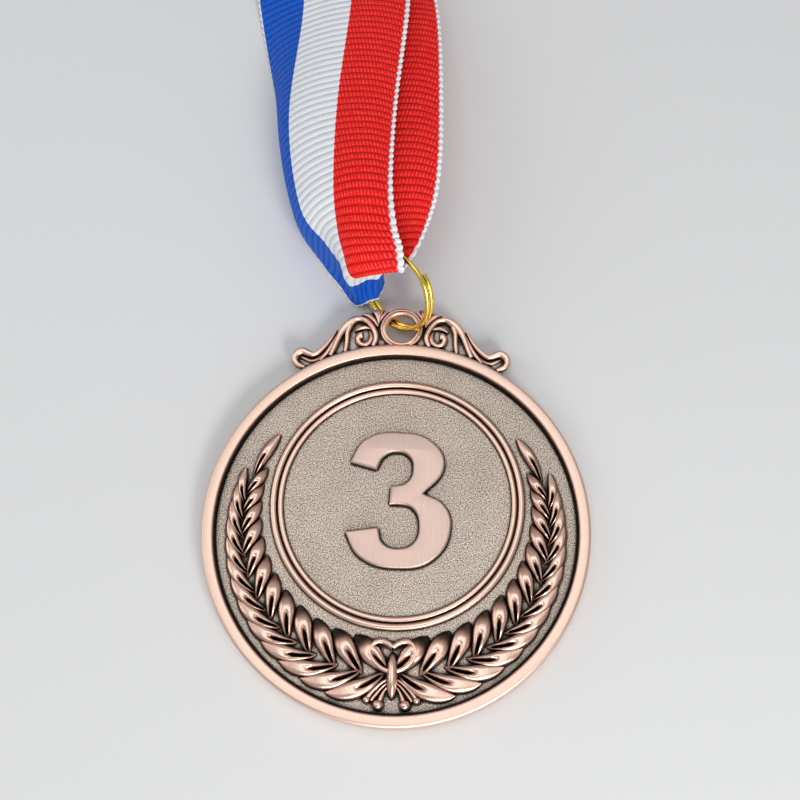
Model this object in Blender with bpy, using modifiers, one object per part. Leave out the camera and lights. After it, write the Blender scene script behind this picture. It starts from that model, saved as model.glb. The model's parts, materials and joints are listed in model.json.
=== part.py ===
"""Third-place award medal: a cast disc with a scrolled hanger, a split ring and a striped neck ribbon.

Units are metres, +Z up. The medal lies face up: the origin is the centre of the disc's flat back,
+Z is the face's normal and +Y points from the disc to its hanger. Lists of points are in
millimetres and are scaled by MM where they are used.
"""

import math

import bmesh
import bpy
import numpy as np
from mathutils import Matrix, Vector

MM = 0.001
COLLECTION = "award_medal"

# Disc
DISC_RADIUS = 0.025
DISC_THICKNESS = 0.003
RIM_WIDTH = 0.0014
RIM_SLOPE = 0.00025
EDGE_CHAMFER = 0.0003
FIELD_DEPTH = 0.0011
FIELD_Z = DISC_THICKNESS - FIELD_DEPTH
SINK = 0.0003

# Raised work on the face
RING_BORDER_CENTRE = (0.0001, 0.00334)
RING_BORDER_INNER = 0.01484
RING_BORDER_OUTER = 0.0165
RING_BORDER_HEIGHT = 0.0006
NUMERAL_HEIGHT = 0.00095
NUMERAL_CHAMFER = 0.00015
LEAF_HEIGHT = 0.0008
BOW_WIRE = 0.0006

# Hanger
HOLE_CENTRE_Y = 0.0274
HOLE_RADIUS = 0.002
LAND_RADIUS = 0.0028
HANGER_BACK_Z = 0.0016
HANGER_FRONT_Z = 0.0026
LAND_FRONT_Z = 0.0027

# Split ring: two turns of round wire, leaning in the hanger's hole
RING_PIVOT = Vector((-0.00115, 0.0295, 0.0021))
RING_CENTRE = Vector((-0.0007, 0.03155, 0.0058))
RING_RADIUS = 0.0056
RING_WIRE = 0.0007
RING_PITCH = 0.00077
RING_TURNS = 1.96
RING_PHASE = math.radians(50)
RING_TILT = math.radians(64)
RING_AZIMUTH = math.radians(225.5)

# Neck ribbon
RIBBON_WIDTH = 0.025
RIBBON_THICKNESS = 0.0005
FOLD_START = math.radians(95)
FOLD_END = math.radians(236)
HANK_START_Y = 0.1
HANK_LENGTH = 0.048
HANK_BASE = 0.0011
HANK_TOP = 0.0106
HANK_CENTRE_X = -0.0135
TIE_WIDTH = 0.006
TIE_THICKNESS = 0.0006
GAP = 0.0003

BRONZE = ("antique_bronze", (0.62, 0.36, 0.28), 0.38, 1.0)
GOLD = ("yellow_gold_wire", (0.83, 0.61, 0.22), 0.2, 1.0)
RIBBON_CLOTH = ("ribbon_cloth", (0.7, 0.06, 0.05), 0.8, 0.0)
TIE_CLOTH = ("tie_cloth", (0.85, 0.85, 0.83), 0.8, 0.0)
THREAD = ("white_thread", (0.9, 0.9, 0.88), 0.7, 0.0)


def clear_scene():
    """Remove every object of the startup scene."""
    for obj in list(bpy.data.objects):
        bpy.data.objects.remove(obj, do_unlink=True)


def new_collection(name):
    """Make a collection in the scene."""
    group = bpy.data.collections.new(name)
    bpy.context.scene.collection.children.link(group)
    return group


def new_material(name, colour, roughness, metallic):
    """Make a plain Principled material."""
    material = bpy.data.materials.new(name)
    material.use_nodes = True
    shader = material.node_tree.nodes["Principled BSDF"]
    shader.inputs["Base Color"].default_value = (*colour, 1)
    shader.inputs["Roughness"].default_value = roughness
    shader.inputs["Metallic"].default_value = metallic
    return material


def add_object(name, data, group, material=None):
    """Link new object data into a collection."""
    obj = bpy.data.objects.new(name, data)
    group.objects.link(obj)
    if material:
        data.materials.append(material)
    return obj


def bmesh_object(name, bm, group, material=None):
    """Turn a bmesh into an object with outward normals."""
    bmesh.ops.recalc_face_normals(bm, faces=bm.faces)
    mesh = bpy.data.meshes.new(name)
    bm.to_mesh(mesh)
    bm.free()
    return add_object(name, mesh, group, material)


def turned(name, profile, steps, group, material=None, centre=(0, 0)):
    """Turn an (r, z) profile in metres round a vertical axis through centre."""
    bm = bmesh.new()
    points = [bm.verts.new((r, 0, z)) for r, z in profile]
    ends = points if profile[0][0] == 0 else points + points[:1]
    for start, end in zip(ends, ends[1:]):
        bm.edges.new((start, end))
    mesh = bpy.data.meshes.new(name)
    bm.to_mesh(mesh)
    bm.free()
    obj = add_object(name, mesh, group, material)
    obj.location = (*centre, 0)
    screw = obj.modifiers.new("turn", "SCREW")
    screw.steps = steps
    screw.render_steps = steps
    screw.use_merge_vertices = True
    screw.merge_threshold = 1e-6
    return obj


def flat_plate(name, outline, resolution, back, front, group, bevel=0.0):
    """Extrude a closed Bezier outline of (x, y, smooth) points in millimetres between two heights."""
    curve = bpy.data.curves.new(name, "CURVE")
    curve.dimensions = "2D"
    curve.fill_mode = "BOTH"
    curve.extrude = (front - back) / 2 - bevel
    curve.bevel_depth = bevel
    curve.bevel_resolution = 0
    curve.offset = -bevel
    spline = curve.splines.new("BEZIER")
    spline.bezier_points.add(len(outline) - 1)
    spline.use_cyclic_u = True
    spline.resolution_u = resolution
    for knot, (x, y, smooth) in zip(spline.bezier_points, outline):
        knot.co = (x * MM, y * MM, 0)
        handle = "AUTO" if smooth else "VECTOR"
        knot.handle_left_type = handle
        knot.handle_right_type = handle
    obj = add_object(name, curve, group)
    obj.location.z = (front + back) / 2
    return as_mesh(obj, group)


def as_mesh(obj, group):
    """Replace a curve object by a welded mesh of the same name."""
    bpy.context.view_layer.update()
    evaluated = obj.evaluated_get(bpy.context.evaluated_depsgraph_get())
    mesh = bpy.data.meshes.new_from_object(evaluated)
    bm = bmesh.new()
    bm.from_mesh(mesh)
    bmesh.ops.remove_doubles(bm, verts=bm.verts, dist=1e-6)
    bmesh.ops.recalc_face_normals(bm, faces=bm.faces)
    bm.to_mesh(mesh)
    bm.free()
    name = obj.name
    matrix = obj.matrix_world.copy()
    bpy.data.objects.remove(obj, do_unlink=True)
    solid = add_object(name, mesh, group)
    solid.matrix_world = matrix
    return solid


def tube(name, points, diameter, group, material=None, sides=2, cyclic=False):
    """Run a round wire through points."""
    curve = bpy.data.curves.new(name, "CURVE")
    curve.dimensions = "3D"
    curve.bevel_depth = diameter / 2
    curve.bevel_resolution = sides
    curve.use_fill_caps = True
    spline = curve.splines.new("POLY")
    spline.points.add(len(points) - 1)
    spline.use_cyclic_u = cyclic
    for knot, point in zip(spline.points, points):
        knot.co = (*point, 1)
    return add_object(name, curve, group, material)


def helper(obj):
    """Keep a Boolean's operand out of the render."""
    obj.hide_render = True
    obj.display_type = "WIRE"
    return obj


def combine(target, other, operation, self_crossing=False):
    """Add an exact Boolean to the target."""
    modifier = target.modifiers.new(other.name, "BOOLEAN")
    modifier.operation = operation
    modifier.solver = "EXACT"
    modifier.use_self = self_crossing
    modifier.object = helper(other)


def shade_round(obj, angle=math.radians(35)):
    """Shade a mesh smooth except at its sharp edges."""
    obj.data.shade_smooth()
    obj.data.set_sharp_from_angle(angle=angle)


def mirrored_outline(half):
    """Close a half outline given from the top centre down the +X side."""
    return half + [(-x, y, smooth) for x, y, smooth in reversed(half) if x > 0]


def blank(group, material):
    """The coin blank: flat back, raised rim and sunken field."""
    rim_inner = DISC_RADIUS - RIM_WIDTH
    profile = [
        (0, FIELD_Z),
        (rim_inner - RIM_SLOPE, FIELD_Z),
        (rim_inner, DISC_THICKNESS),
        (DISC_RADIUS - EDGE_CHAMFER, DISC_THICKNESS),
        (DISC_RADIUS, DISC_THICKNESS - EDGE_CHAMFER),
        (DISC_RADIUS, EDGE_CHAMFER),
        (DISC_RADIUS - EDGE_CHAMFER, 0),
        (0, 0),
    ]
    return turned("medal_body", profile, 96, group, material)


def ring_border(group):
    """The off-centre double ring round the numeral: two beads with a groove between them."""
    middle = (RING_BORDER_INNER + RING_BORDER_OUTER) / 2
    top = FIELD_Z + RING_BORDER_HEIGHT
    foot = FIELD_Z - SINK
    bead = (RING_BORDER_OUTER - RING_BORDER_INNER) / 4
    profile = [
        (RING_BORDER_INNER, foot),
        (RING_BORDER_INNER + bead, top),
        (middle, top - RING_BORDER_HEIGHT / 2),
        (RING_BORDER_OUTER - bead, top),
        (RING_BORDER_OUTER, foot),
    ]
    return turned("ring_border", profile, 64, group, centre=RING_BORDER_CENTRE)


def numeral(group):
    """The raised figure 3, drawn clockwise from its upper left terminal."""
    outline = [
        (-6.18, 8.48, False),
        (-4.27, 11.56, True),
        (0.19, 12.6, True),
        (4.55, 11.35, True),
        (6.14, 8.22, True),
        (3.49, 4.41, False),
        (6.14, 3.0, True),
        (7.1, 0.08, True),
        (4.98, -4.1, True),
        (0.41, -5.35, True),
        (-4.48, -3.99, True),
        (-6.5, -0.76, False),
        (-2.25, -0.13, False),
        (-1.51, -2.22, True),
        (0.51, -2.85, True),
        (2.43, -2.01, True),
        (3.06, 0.29, True),
        (2.11, 2.48, True),
        (0.3, 2.95, True),
        (-0.87, 2.89, False),
        (-0.76, 5.29, False),
        (1.36, 5.92, True),
        (2.11, 7.9, True),
        (1.57, 9.36, True),
        (-0.02, 9.99, True),
        (-1.72, 9.36, True),
        (-2.67, 7.54, False),
    ]
    foot = FIELD_Z - SINK
    top = FIELD_Z + NUMERAL_HEIGHT
    return flat_plate("numeral", outline, 3, foot, top, group, NUMERAL_CHAMFER)


def polar(radius, degrees):
    """A point of the face at an angle from straight down, towards +X."""
    angle = math.radians(degrees)
    return Vector((radius * math.sin(angle), -radius * math.cos(angle), 0)) * MM


def stem_radius(degrees):
    """Radius in millimetres of the laurel stem, which bows out from 18.3 at its foot."""
    return 18.3 + 1.5 * math.sin(math.radians(min(degrees, 90)))


def add_leaf(bm, base, tip, width):
    """One leaf as a low ridge between its base and its tip."""
    along = tip - base
    across = Vector((-along.y, along.x, 0)).normalized() * width / 2
    waist = base + along * 0.42
    foot = Vector((0, 0, FIELD_Z - SINK))
    ridge = Vector((0, 0, FIELD_Z + LEAF_HEIGHT))
    edge = foot.lerp(ridge, 0.6)
    low = [base, waist - across, tip, waist + across]
    floor = [bm.verts.new(point + foot) for point in low]
    shoulder = [bm.verts.new(point.lerp(waist, 0.12) + edge) for point in low]
    crown = bm.verts.new(waist + ridge)
    bm.faces.new(floor[::-1])
    for index in range(4):
        after = (index + 1) % 4
        bm.faces.new((floor[index], floor[after], shoulder[after], shoulder[index]))
        bm.faces.new((shoulder[index], shoulder[after], crown))


def laurel(name, side, group):
    """One laurel branch: pairs of leaves along the stem, and a leaf at its end."""
    bm = bmesh.new()
    for index in range(13):
        angle = 21 + 9.3 * index - 0.15 * index * index
        length = 15.5 - 0.3 * index
        base = polar(stem_radius(angle - length), angle - length)
        tip = polar(22.3 - 0.1 * index, angle)
        add_leaf(bm, base, tip, (2.5 - 0.07 * index) * MM)
    for index in range(12):
        angle = 18.4 + 10.8 * index - 0.19 * index * index
        length = 16 - 0.35 * index
        base = polar(stem_radius(angle - length), angle - length)
        tip = polar(14.5 + 0.37 * index, angle)
        add_leaf(bm, base, tip, (2.4 - 0.07 * index) * MM)
    add_leaf(bm, polar(stem_radius(108), 108), polar(19.75, 128), 1.7 * MM)
    bmesh.ops.scale(bm, vec=(side, 1, 1), verts=bm.verts)
    return bmesh_object(name, bm, group)


def bow(group):
    """The ribbon bow at the foot of the laurels: a heart loop, an oval knot and two tails."""
    heart = [
        (0.2, -18.4),
        (-1.6, -17.2),
        (-2.7, -15.8),
        (-1.8, -14.6),
        (-0.7, -14.5),
        (0.2, -15.0),
    ]
    loop = heart + [(0.4 - x, y) for x, y in heart[-2:0:-1]]
    z = FIELD_Z + 0.0002
    path = [(x * MM, y * MM, z) for x, y in loop]
    parts = [as_mesh(tube("bow_loop", path, BOW_WIRE, group, cyclic=True), group)]
    knot = bmesh.new()
    bmesh.ops.create_uvsphere(knot, u_segments=12, v_segments=8, radius=1)
    place = Matrix.Translation((0.0002, -0.0187, FIELD_Z + 0.0001))
    knot.transform(place @ Matrix.Diagonal((0.0008, 0.0031, 0.0009, 1)))
    parts.append(bmesh_object("bow_knot", knot, group))
    for side in (-1, 1):
        tail = [
            (0.2 + side * 0.3, -19.4),
            (0.2 + side * 1.0, -21.0),
            (0.2 + side * 1.9, -22.0),
        ]
        path = [(x * MM, y * MM, z) for x, y in tail]
        parts.append(as_mesh(tube(f"bow_tail_{side}", path, BOW_WIRE, group), group))
    return parts


def hanger_plate(group):
    """The scrolled hanger above the rim."""
    half = [
        (0.0, 30.25, True),
        (2.0, 29.9, False),
        (3.9, 30.35, True),
        (5.8, 29.1, True),
        (7.9, 28.2, True),
        (9.1, 26.7, True),
        (10.2, 25.2, True),
        (11.6, 24.05, True),
        (12.6, 24.35, True),
        (13.7, 24.4, True),
        (14.7, 22.9, True),
        (13.7, 21.8, False),
        (12.6, 20.7, False),
        (6.4, 23.35, True),
        (0.0, 24.2, True),
    ]
    outline = mirrored_outline(half)
    return flat_plate("hanger_plate", outline, 4, HANGER_BACK_Z, HANGER_FRONT_Z, group)


def hanger_land(group):
    """The round boss that the ring hangs in."""
    profile = [
        (0, LAND_FRONT_Z),
        (LAND_RADIUS, LAND_FRONT_Z),
        (LAND_RADIUS, HANGER_BACK_Z),
        (0, HANGER_BACK_Z),
    ]
    return turned("hanger_land", profile, 32, group, centre=(0, HOLE_CENTRE_Y))


def hanger_hole(group):
    """The through hole for the split ring, with its edges eased."""
    ease = 0.0003
    middle = (HANGER_BACK_Z + LAND_FRONT_Z) / 2
    profile = [
        (0, LAND_FRONT_Z + 0.001),
        (HOLE_RADIUS + ease + 0.001, LAND_FRONT_Z + 0.001),
        (HOLE_RADIUS, LAND_FRONT_Z - ease),
        (HOLE_RADIUS, middle),
        (HOLE_RADIUS, HANGER_BACK_Z + ease),
        (HOLE_RADIUS + ease + 0.001, HANGER_BACK_Z - 0.001),
        (0, HANGER_BACK_Z - 0.001),
    ]
    return turned("hanger_hole", profile, 32, group, centre=(0, HOLE_CENTRE_Y))


def medal_body(group, tools, material):
    """The one-piece casting: blank, raised work and hanger."""
    body = blank(group, material)
    for piece in (hanger_plate(tools), hanger_land(tools), ring_border(tools), numeral(tools)):
        combine(body, piece, "UNION")
    for side, name in ((-1, "laurel_left"), (1, "laurel_right")):
        combine(body, laurel(name, side, tools), "UNION", self_crossing=True)
    for piece in bow(tools):
        combine(body, piece, "UNION")
    combine(body, hanger_hole(tools), "DIFFERENCE")
    return body


def ring_frame():
    """The split ring's in-plane directions (sideways, upwards) and its axis."""
    flat = math.sin(RING_TILT)
    axis = Vector((0, 0, math.cos(RING_TILT)))
    axis.x = flat * math.cos(RING_AZIMUTH)
    axis.y = flat * math.sin(RING_AZIMUTH)
    sideways = Vector((0, 0, 1)).cross(axis).normalized()
    return sideways, axis.cross(sideways), axis


def split_ring(group, material):
    """Two close turns of wire round the ring's centre."""
    sideways, upwards, axis = ring_frame()
    count = 54
    points = []
    for index in range(count + 1):
        turn = RING_TURNS * (index / count - 0.5)
        angle = RING_PHASE + math.tau * turn
        radial = sideways * math.cos(angle) + upwards * math.sin(angle)
        points.append(radial * RING_RADIUS + axis * RING_PITCH * turn)
    ring = tube("split_ring", points, RING_WIRE, group, material)
    ring.location = RING_CENTRE
    return ring


def across(points, shares):
    """Read a cubic through four points, given at the stripe edges, at shares of the ribbon's width."""
    keys = np.array((0.0, 0.344, 0.656, 1.0))
    points = np.array(points, float)
    rows = np.zeros((len(shares), 3))
    for index, key in enumerate(keys):
        others = np.delete(keys, index)
        weight = np.prod([(shares - other) / (key - other) for other in others], axis=0)
        rows += weight[:, None] * points[index]
    return rows


def fold_rows(shares):
    """Rows of the fold behind the ring's upper arc, from the front run to the back one."""
    sideways, upwards, axis = ring_frame()
    rows = []
    for turn in (135, 180):
        row = []
        for share in shares:
            angle = FOLD_START + (FOLD_END - FOLD_START) * share
            outward = sideways * math.cos(angle) + upwards * math.sin(angle)
            reach = 1.5 + 0.8 * math.sin(math.pi * share)
            wrap = math.radians(turn)
            step = outward * math.cos(wrap) + axis * math.sin(wrap)
            row.append((RING_CENTRE + outward * RING_RADIUS) / MM + step * reach)
        rows.append(np.array(row))
    return rows


def smooth_rows(rows, between):
    """Add rows between the given ones on a Catmull-Rom curve."""
    ends = [2 * rows[0] - rows[1]] + rows + [2 * rows[-1] - rows[-2]]
    smooth = []
    for before, start, end, after in zip(ends, ends[1:], ends[2:], ends[3:]):
        for step in range(between):
            t = step / between
            smooth.append(
                0.5
                * (
                    2 * start
                    + (end - before) * t
                    + (2 * before - 5 * start + 4 * end - after) * t * t
                    + (3 * start - before - 3 * end + after) * t**3
                )
            )
    return smooth + [rows[-1]]


def neck_ribbon(group, material):
    """The ribbon's run from the hank down to the ring, round it and back, as one thin shell."""
    # Four points a row, at the stripe edges from the red selvedge to the blue one, in millimetres.
    front = [
        [(-1.0, 99.5, 2.6), (-9.6, 99.5, 2.6), (-17.4, 99.5, 2.6), (-26.0, 99.5, 2.6)],
        [(-0.6, 91.0, 4.6), (-9.0, 91.5, 4.6), (-16.6, 92.0, 3.8), (-25.0, 92.0, 2.2)],
        [(-0.2, 74.4, 9.6), (-8.3, 75.6, 9.3), (-15.6, 76.3, 5.6), (-22.2, 76.4, 0.6)],
        [(-1.4, 56.1, 12.4), (-9.2, 57.1, 12.2), (-16.3, 57.1, 7.6), (-17.3, 55.8, 0.6)],
        [(-1.6, 43.9, 13.6), (-9.0, 43.7, 13.6), (-13.9, 42.9, 8.0), (-13.9, 42.6, 0.6)],
        [(-0.8, 37.0, 13.6), (-8.2, 37.2, 13.0), (-10.2, 37.6, 7.8), (-11.0, 37.4, 0.7)],
        [(0.0, 34.4, 13.2), (-7.3, 33.9, 12.6), (-8.0, 34.6, 7.4), (-8.7, 34.4, 0.8)],
        [(0.2, 31.9, 12.2), (-6.1, 31.1, 11.2), (-6.9, 32.1, 6.5), (-6.5, 31.7, 0.7)],
    ]
    back = [
        [(2.6, 37.2, 10.0), (-1.2, 37.2, 8.6), (-3.2, 36.6, 5.4), (-3.6, 36.6, 0.7)],
        [(4.5, 44.4, 10.8), (-3.4, 44.6, 11.0), (-10.2, 43.4, 7.2), (-12.2, 42.7, 0.7)],
        [(4.9, 56.7, 10.2), (-3.4, 58.1, 9.4), (-11.0, 56.4, 6.4), (-15.7, 55.9, 0.7)],
        [(3.9, 75.0, 7.6), (-3.2, 76.0, 6.8), (-11.0, 75.6, 4.6), (-18.4, 76.4, 0.6)],
        [(0.6, 91.0, 2.8), (-7.6, 91.5, 2.6), (-15.4, 92.0, 2.0), (-23.8, 92.0, 0.8)],
        [(-1.0, 99.5, 1.6), (-9.6, 99.5, 1.6), (-17.4, 99.5, 1.6), (-26.0, 99.5, 1.6)],
    ]
    shares = np.linspace(0, 1, 11)
    rows = [across(row, shares) for row in front]
    rows += fold_rows(shares)
    rows += [across(row, shares) for row in back]
    rows = smooth_rows(rows, 3)
    bm = bmesh.new()
    grid = [[bm.verts.new(point * MM) for point in row] for row in rows]
    for row, following in zip(grid, grid[1:]):
        for index in range(len(shares) - 1):
            bm.faces.new((row[index], row[index + 1], following[index + 1], following[index]))
    ribbon = bmesh_object("neck_ribbon", bm, group, material)
    shell = ribbon.modifiers.new("cloth", "SOLIDIFY")
    shell.thickness = RIBBON_THICKNESS
    shell.offset = 0
    ribbon.data.shade_smooth()
    return ribbon


def rounded_block(name, low, high, radius, group, material):
    """A block whose short ends, along Y, are rounded."""
    bm = bmesh.new()
    bmesh.ops.create_cube(bm, size=1)
    size = Vector(high) - Vector(low)
    bmesh.ops.scale(bm, vec=size, verts=bm.verts)
    bmesh.ops.translate(bm, vec=(Vector(low) + Vector(high)) / 2, verts=bm.verts)
    obj = bmesh_object(name, bm, group, material)
    weights = obj.data.attributes.new("bevel_weight_edge", "FLOAT", "EDGE")
    for edge in obj.data.edges:
        start, end = (obj.data.vertices[index].co for index in edge.vertices)
        if abs(start.x - end.x) > size.x / 2:
            weights.data[edge.index].value = 1
    bevel = obj.modifiers.new("round", "BEVEL")
    bevel.limit_method = "WEIGHT"
    bevel.width = radius
    bevel.segments = 5
    shade_round(obj)
    return obj


def ribbon_hank(group, material):
    """The folded rest of the ribbon, as the plain outer shape of the stack."""
    low = (HANK_CENTRE_X - RIBBON_WIDTH / 2, HANK_START_Y, HANK_BASE)
    high = (HANK_CENTRE_X + RIBBON_WIDTH / 2, HANK_START_Y + HANK_LENGTH, HANK_TOP)
    return rounded_block("ribbon_hank", low, high, 0.0042, group, material)


def hank_tie(group, material):
    """The closed band round the middle of the hank."""
    bm = bmesh.new()
    loops = []
    middle_y = HANK_START_Y + HANK_LENGTH / 2
    for y in (middle_y - TIE_WIDTH / 2, middle_y + TIE_WIDTH / 2):
        for grow in (GAP, GAP + TIE_THICKNESS):
            half = RIBBON_WIDTH / 2 + grow
            low = HANK_BASE - grow
            high = HANK_TOP + grow
            corners = [(-half, low), (half, low), (half, high), (-half, high)]
            loops.append([bm.verts.new((HANK_CENTRE_X + x, y, z)) for x, z in corners])
    near_inner, near_outer, far_inner, far_outer = loops
    walls = [
        (near_inner, near_outer),
        (near_outer, far_outer),
        (far_outer, far_inner),
        (far_inner, near_inner),
    ]
    for first, second in walls:
        for index in range(4):
            after = (index + 1) % 4
            bm.faces.new((first[index], first[after], second[after], second[index]))
    return bmesh_object("hank_tie", bm, group, material)


def seam_stitching(group, material):
    """The row of thread that closes the ribbon into a loop, on the top layer of the hank."""
    count = 24
    reach = RIBBON_WIDTH * 0.42
    y = HANK_START_Y + HANK_LENGTH * 0.8
    points = []
    for index in range(count + 1):
        x = HANK_CENTRE_X - reach + 2 * reach * index / count
        points.append((x, y + 0.0008 * (-1) ** index, HANK_TOP + GAP + 0.0002))
    return tube("seam_stitching", points, 0.0004, group, material, sides=1)


def pivot_for(name, place, group, pieces):
    """Parent pieces to an empty on their joint's axis, leaving each where it is."""
    pivot = add_object(name, None, group)
    pivot.location = place
    for piece in pieces:
        piece.parent = pivot
        piece.matrix_parent_inverse = Matrix.Translation(-place)
    return pivot


def main():
    """Build the medal, its ring and its ribbon."""
    clear_scene()
    group = new_collection(COLLECTION)
    tools = new_collection("cutters")
    cloth = new_material(*RIBBON_CLOTH)
    medal_body(group, tools, new_material(*BRONZE))
    ring = split_ring(group, new_material(*GOLD))
    ribbon = [
        neck_ribbon(group, cloth),
        ribbon_hank(group, cloth),
        hank_tie(group, new_material(*TIE_CLOTH)),
        seam_stitching(group, new_material(*THREAD)),
    ]
    ribbon_pivot = pivot_for("ribbon_pivot", RING_CENTRE, group, ribbon)
    pivot_for("ring_pivot", RING_PIVOT, group, [ring, ribbon_pivot])


main()
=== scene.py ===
"""Visual model of a third-place award medal on a split ring and a striped neck ribbon.

Lengths in the classes below are millimetres in the medal's own frame: the origin is the middle of
the disc's flat back, +Z is the normal of its face and +Y points to the hanger. Draft.piece turns
them into metres.
"""

import json
import logging
import math
from collections.abc import Sequence
from dataclasses import dataclass, field
from enum import Enum
from functools import cached_property

import bmesh
import bpy
import numpy as np
from bpy.types import Curve, Material, NodeSocket, Object
from mathutils import Euler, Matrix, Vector

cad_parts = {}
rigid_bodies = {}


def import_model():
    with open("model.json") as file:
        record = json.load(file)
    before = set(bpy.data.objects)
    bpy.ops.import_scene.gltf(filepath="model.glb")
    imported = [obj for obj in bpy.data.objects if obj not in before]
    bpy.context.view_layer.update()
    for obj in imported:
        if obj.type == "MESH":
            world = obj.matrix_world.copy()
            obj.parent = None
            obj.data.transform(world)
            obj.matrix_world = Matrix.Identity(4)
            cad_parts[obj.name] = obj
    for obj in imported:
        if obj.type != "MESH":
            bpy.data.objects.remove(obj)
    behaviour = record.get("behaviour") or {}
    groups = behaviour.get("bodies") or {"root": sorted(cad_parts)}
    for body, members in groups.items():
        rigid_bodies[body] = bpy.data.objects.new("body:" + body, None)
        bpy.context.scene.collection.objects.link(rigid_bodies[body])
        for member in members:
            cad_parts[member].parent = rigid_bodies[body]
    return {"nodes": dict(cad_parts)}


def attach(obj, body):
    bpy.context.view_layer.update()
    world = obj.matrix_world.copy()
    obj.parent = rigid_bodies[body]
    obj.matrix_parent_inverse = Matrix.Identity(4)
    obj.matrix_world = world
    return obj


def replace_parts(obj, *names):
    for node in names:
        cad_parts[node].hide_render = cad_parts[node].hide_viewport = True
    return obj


MM = 0.001
FIELD = 1.9  # height of the sunken ground
FOOT = 1.7  # height where raised work starts, just under the ground
RIBBON_WIDTH = 25.0
RIB_PITCH = 1.1
LOG = logging.getLogger("medal")

Array = np.ndarray
Pair = tuple[float, float]
Triple = tuple[float, float, float]
Triples = tuple[Triple, ...]
Outline = tuple[tuple[float, float, bool], ...]  # x, y and whether the corner is smooth


class Body(Enum):
    """The moving bodies of the frame."""

    MEDAL = "medal"
    RING = "ring"
    RIBBON = "ribbon"


class Slot(Enum):
    """The record's material slots."""

    BRONZE = "antique_bronze"
    GOLD = "gold_wire"
    RIBBON = "ribbon_cloth"
    TIE = "tie_cloth"
    THREAD = "white_thread"


# Shader tools


class Value:
    """A number socket of a shader; arithmetic on it adds Math nodes."""

    def __init__(self, shader: "Shader", socket: NodeSocket) -> None:
        """Keep the socket and the shader that it belongs to."""
        self.shader = shader
        self.socket = socket

    def _math(self, operation: str, *terms: "Value | float") -> "Value":
        """Add one Math node with its inputs in order."""
        settings = {"operation": operation}
        return self.shader.node("ShaderNodeMath", settings, dict(enumerate(terms)))

    def __add__(self, other: "Value | float") -> "Value":
        """Sum."""
        return self._math("ADD", self, other)

    __radd__ = __add__

    def __sub__(self, other: "Value | float") -> "Value":
        """Difference."""
        return self._math("SUBTRACT", self, other)

    def __rsub__(self, other: "Value | float") -> "Value":
        """Reflected difference."""
        return self._math("SUBTRACT", other, self)

    def __mul__(self, other: "Value | float") -> "Value":
        """Product."""
        return self._math("MULTIPLY", self, other)

    __rmul__ = __mul__

    def sine(self) -> "Value":
        """Sine of the value in radians."""
        return self._math("SINE", self)

    def size(self) -> "Value":
        """Absolute value."""
        return self._math("ABSOLUTE", self)

    def rise(self, low: float, high: float) -> "Value":
        """Smooth step from 0 at low to 1 at high, or a falling one where low is above high."""
        settings = {"interpolation_type": "SMOOTHSTEP"}
        return self.shader.node("ShaderNodeMapRange", settings, {0: self, 1: low, 2: high})


class Shader:
    """One material's node tree with a Principled shader."""

    def __init__(self, name: str) -> None:
        """Make the material.

        Args:
            name: The material's name.
        """
        self.material = bpy.data.materials.new(name)
        self.material.use_nodes = True
        self.tree = self.material.node_tree
        self.principled = self.tree.nodes["Principled BSDF"]

    def connect(self, socket: NodeSocket, value: object) -> None:
        """Link a value to a socket, or set the socket to a constant.

        Args:
            socket: The input socket.
            value: A Value, a number or a tuple.
        """
        if isinstance(value, Value):
            self.tree.links.new(value.socket, socket)
        else:
            socket.default_value = value

    def node(self, kind: str, settings: dict, inputs: dict, output: int | str = 0) -> Value:
        """Add one node.

        Args:
            kind: The node's type.
            settings: Attributes of the node, set before its sockets.
            inputs: Values or links by socket name or number.
            output: The wanted output's name or number.

        Returns:
            The wanted output.
        """
        node = self.tree.nodes.new(kind)
        for name, setting in settings.items():
            setattr(node, name, setting)
        for key, value in inputs.items():
            self.connect(node.inputs[key], value)
        return Value(self, node.outputs[output])

    def attribute(self, name: str) -> Value:
        """Read a number kept at each point of the mesh."""
        return self.node("ShaderNodeAttribute", {"attribute_name": name}, {}, "Fac")

    def place(self, scale: Triple = (1, 1, 1)) -> Value:
        """Object coordinates, stretched by a factor along X, Y and Z."""
        inputs = {0: self.node("ShaderNodeTexCoord", {}, {}, "Object"), 1: scale}
        return self.node("ShaderNodeVectorMath", {"operation": "MULTIPLY"}, inputs)

    def noise(self, scale: float, detail: float = 2.0, stretch: Triple = (1, 1, 1)) -> Value:
        """Noise from 0 to 1, with its grains to a metre, octaves and coordinate factors."""
        inputs = {"Vector": self.place(stretch), "Scale": scale, "Detail": detail}
        return self.node("ShaderNodeTexNoise", {}, inputs)

    def cavity(self, reach: float) -> Value:
        """How open the surface is within a few millimetres: 1 in the open, 0 in a deep corner."""
        inputs = {"Distance": reach * MM}
        return self.node("ShaderNodeAmbientOcclusion", {"samples": 12}, inputs, "AO")

    def mix(self, share: Value, first: object, second: object) -> Value:
        """Blend two colours, tuples or links; the share is how much of the second shows."""
        inputs = {0: share, 6: colour(first), 7: colour(second)}
        return self.node("ShaderNodeMix", {"data_type": "RGBA"}, inputs, 2)

    def bump(self, height: Value, depth: float) -> Value:
        """Turn a height from 0 to 1 into a normal; the depth of that step is in millimetres."""
        inputs = {"Height": height, "Distance": depth * MM, "Strength": 1.0}
        return self.node("ShaderNodeBump", {}, inputs)

    def finish(self, **sockets: object) -> None:
        """Set the Principled shader's sockets; underscores stand for spaces."""
        for name, value in sockets.items():
            self.connect(self.principled.inputs[name.replace("_", " ")], value)


def colour(value: object) -> object:
    """A plain RGB tuple given an alpha; anything else unchanged."""
    return (*value, 1.0) if isinstance(value, tuple) else value


# Finishes


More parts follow.
